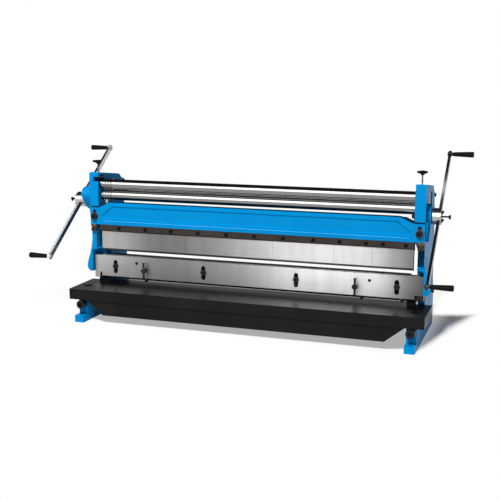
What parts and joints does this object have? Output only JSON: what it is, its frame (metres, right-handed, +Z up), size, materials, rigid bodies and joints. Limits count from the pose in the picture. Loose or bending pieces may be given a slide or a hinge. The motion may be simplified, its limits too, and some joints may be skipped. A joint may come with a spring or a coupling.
{
  "type": "slip roll machine",
  "caption": "Bench machine for sheet metal: forming rolls over a box-and-pan press brake and a shear, between cast side frames with hand cranks.",
  "frame": {"origin": "on the floor under the middle of the machine's overall box", "axes": "+X along the rolls to the clutch end, +Y to the back, +Z up"},
  "size_m": [1.7204, 0.5794, 0.7108],
  "materials": {
    "blue_paint": "gloss azure enamel",
    "black_iron": "satin black paint on cast iron",
    "ground_steel": "ground along the length",
    "dark_steel": "oiled gunmetal",
    "bronze": "turned bearing bronze",
    "polished_steel": "polished and oiled",
    "chrome": "bright plated bar",
    "machined_steel": "machined, oiled",
    "black_steel": "black oxide",
    "black_plastic": "moulded, semi-matt"
  },
  "bodies": {
    "root": {"left_frame": "blue_paint", "right_frame": "blue_paint", "bed_casting": "black_iron", "bed_bolt_left": "black_steel", "bed_bolt_right": "black_steel", "lower_shear_blade": "ground_steel", "die_seat_left": "dark_steel", "die_seat_right": "dark_steel", "nose_screw_left": "black_steel", "nose_screw_right": "black_steel", "beam_guide_bolt_left": "dark_steel", "beam_guide_bolt_right": "dark_steel", "crank_bush_left": "bronze", "crank_bush_right": "bronze", "gear_case": "blue_paint"},
    "crank_right": {"crank_shaft_right": "polished_steel", "crank_arm_right": "chrome", "crank_gear_right": "machined_steel"},
    "crank_left": {"crank_shaft_left": "polished_steel", "crank_arm_left": "chrome", "crank_gear_left": "machined_steel"},
    "lower_roll": {"lower_roll": "polished_steel", "lower_roll_gear_right": "machined_steel", "lower_roll_gear_left": "machined_steel"},
    "upper_carriage": {"upper_bearing_left": "machined_steel", "upper_bearing_right": "machined_steel"},
    "upper_roll": {"upper_roll": "polished_steel", "upper_roll_gear": "machined_steel"},
    "rear_carriage": {"rear_bearing_left": "machined_steel", "rear_bearing_right": "machined_steel"},
    "rear_roll": {"rear_roll": "polished_steel"},
    "eccentric_shaft": {"eccentric_shaft": "machined_steel", "eccentric_shaft_gear": "machined_steel"},
    "beam": {"beam_casting": "blue_paint", "clamp_bar": "dark_steel", "brake_finger_1": "ground_steel", "brake_finger_2": "ground_steel", "brake_finger_3": "ground_steel", "brake_finger_4": "ground_steel", "brake_finger_5": "ground_steel", "beam_gib_left": "bronze", "beam_gib_right": "bronze", "shear_link_left": "blue_paint", "shear_link_right": "blue_paint", "blade_carrier": "black_iron", "upper_shear_blade": "ground_steel"},
    "clutch_pinion": {"clutch_pinion": "machined_steel"},
    "clutch_rod": {"clutch_knob": "black_plastic"},
    "hub_screw": {"hub_lock_knob": "black_plastic"},
    "die_bar": {"die_bar": "ground_steel"},
    "top_screw_left": {"top_screw_left": "black_steel"},
    "top_screw_right": {"top_screw_right": "black_steel"},
    "rear_screw_left": {"rear_screw_left": "black_steel"},
    "rear_screw_right": {"rear_screw_right": "black_steel"},
    "die_clamp_screw_left": {"die_clamp_screw_left": "dark_steel"},
    "die_clamp_screw_right": {"die_clamp_screw_right": "dark_steel"},
    "grip_upper_left": {"grip_upper_left": "black_plastic"},
    "grip_upper_right": {"grip_upper_right": "black_plastic"},
    "grip_lower_left": {"grip_lower_left": "black_plastic"},
    "grip_lower_right": {"grip_lower_right": "black_plastic"}
  },
  "joints": [
    {"name": "crank_right_turn", "type": "hinge", "parent": "root", "child": "crank_right", "pos_m": [0.02025, 0, 0.48256], "axis": [1, 0, 0], "continuous": true},
    {"name": "crank_left_turn", "type": "hinge", "parent": "root", "child": "crank_left", "pos_m": [0.02025, 0, 0.48256], "axis": [1, 0, 0], "continuous": true},
    {"name": "lower_roll_turn", "type": "hinge", "parent": "root", "child": "lower_roll", "pos_m": [0.02025, -0.03967, 0.513], "axis": [1, 0, 0], "continuous": true},
    {"name": "upper_roll_lift", "type": "slide", "parent": "root", "child": "upper_carriage", "axis": [0, 0, 1], "range_m": [0, 0.004]},
    {"name": "upper_roll_turn", "type": "hinge", "parent": "upper_carriage", "child": "upper_roll", "pos_m": [0.02025, -0.03967, 0.558], "axis": [1, 0, 0], "continuous": true},
    {"name": "rear_roll_adjust", "type": "slide", "parent": "root", "child": "rear_carriage", "axis": [0, -1, 0], "range_m": [0, 0.022]},
    {"name": "rear_roll_turn", "type": "hinge", "parent": "rear_carriage", "child": "rear_roll", "pos_m": [0.02025, 0.06183, 0.542], "axis": [1, 0, 0], "continuous": true},
    {"name": "eccentric_turn", "type": "hinge", "parent": "root", "child": "eccentric_shaft", "pos_m": [0.02025, 0.02435, 0.42229], "axis": [1, 0, 0], "range_deg": [-180, 0]},
    {"name": "beam_slide", "type": "slide", "parent": "root", "child": "beam", "axis": [0, 0, 1], "range_m": [-0.022, 0]},
    {"name": "clutch_pinion_turn", "type": "hinge", "parent": "root", "child": "clutch_pinion", "pos_m": [0.02025, 0, 0.48256], "axis": [1, 0, 0], "range_deg": [0, 405]},
    {"name": "clutch_slide", "type": "slide", "parent": "crank_right", "child": "clutch_rod", "axis": [1, 0, 0], "range_m": [0, 0.006]},
    {"name": "hub_screw_turn", "type": "hinge", "parent": "crank_left", "child": "hub_screw", "pos_m": [0.02025, 0, 0.48256], "axis": [1, 0, 0], "continuous": true},
    {"name": "die_bar_slide", "type": "slide", "parent": "root", "child": "die_bar", "axis": [0, 0, 1], "range_m": [0, 0.022]},
    {"name": "top_screw_left_turn", "type": "hinge", "parent": "upper_carriage", "child": "top_screw_left", "pos_m": [-0.66275, -0.03967, 0.6], "axis": [0, 0, 1], "range_deg": [0, 823]},
    {"name": "rear_screw_left_turn", "type": "hinge", "parent": "rear_carriage", "child": "rear_screw_left", "pos_m": [-0.66475, 0.14483, 0.542], "axis": [0, -1, 0], "range_deg": [0, 3961]},
    {"name": "die_clamp_screw_left_turn", "type": "hinge", "parent": "die_bar", "child": "die_clamp_screw_left", "pos_m": [-0.44445, -0.05517, 0.2], "axis": [0, -1, 0], "continuous": true},
    {"name": "grip_upper_left_turn", "type": "hinge", "parent": "crank_left", "child": "grip_upper_left", "pos_m": [-0.81675, 0.27668, 0.68358], "axis": [1, 0, 0], "continuous": true},
    {"name": "grip_lower_left_turn", "type": "hinge", "parent": "crank_left", "child": "grip_lower_left", "pos_m": [-0.81675, -0.27668, 0.28154], "axis": [1, 0, 0], "continuous": true},
    {"name": "top_screw_right_turn", "type": "hinge", "parent": "upper_carriage", "child": "top_screw_right", "pos_m": [0.70325, -0.03967, 0.6], "axis": [0, 0, 1], "range_deg": [0, 823]},
    {"name": "rear_screw_right_turn", "type": "hinge", "parent": "rear_carriage", "child": "rear_screw_right", "pos_m": [0.70525, 0.14483, 0.542], "axis": [0, -1, 0], "range_deg": [0, 3961]},
    {"name": "die_clamp_screw_right_turn", "type": "hinge", "parent": "die_bar", "child": "die_clamp_screw_right", "pos_m": [0.46035, -0.05517, 0.2], "axis": [0, -1, 0], "continuous": true},
    {"name": "grip_upper_right_turn", "type": "hinge", "parent": "crank_right", "child": "grip_upper_right", "pos_m": [0.81675, 0.26578, 0.69779], "axis": [1, 0, 0], "continuous": true},
    {"name": "grip_lower_right_turn", "type": "hinge", "parent": "crank_right", "child": "grip_lower_right", "pos_m": [0.81675, -0.26578, 0.26733], "axis": [1, 0, 0], "continuous": true}
  ],
  "couplings": [
    {"joint": "crank_left_turn", "follows": "crank_right_turn", "ratio": 1},
    {"joint": "lower_roll_turn", "follows": "crank_right_turn", "ratio": -1.2222},
    {"joint": "upper_roll_turn", "follows": "crank_right_turn", "ratio": 1.2222},
    {"joint": "eccentric_turn", "follows": "beam_slide", "rad_per_m": 142.8},
    {"joint": "clutch_pinion_turn", "follows": "beam_slide", "rad_per_m": -321.3},
    {"joint": "top_screw_left_turn", "follows": "upper_roll_lift", "rad_per_m": 3590.4},
    {"joint": "rear_screw_left_turn", "follows": "rear_roll_adjust", "rad_per_m": 3141.6},
    {"joint": "top_screw_right_turn", "follows": "upper_roll_lift", "rad_per_m": 3590.4},
    {"joint": "rear_screw_right_turn", "follows": "rear_roll_adjust", "rad_per_m": 3141.6}
  ]
}
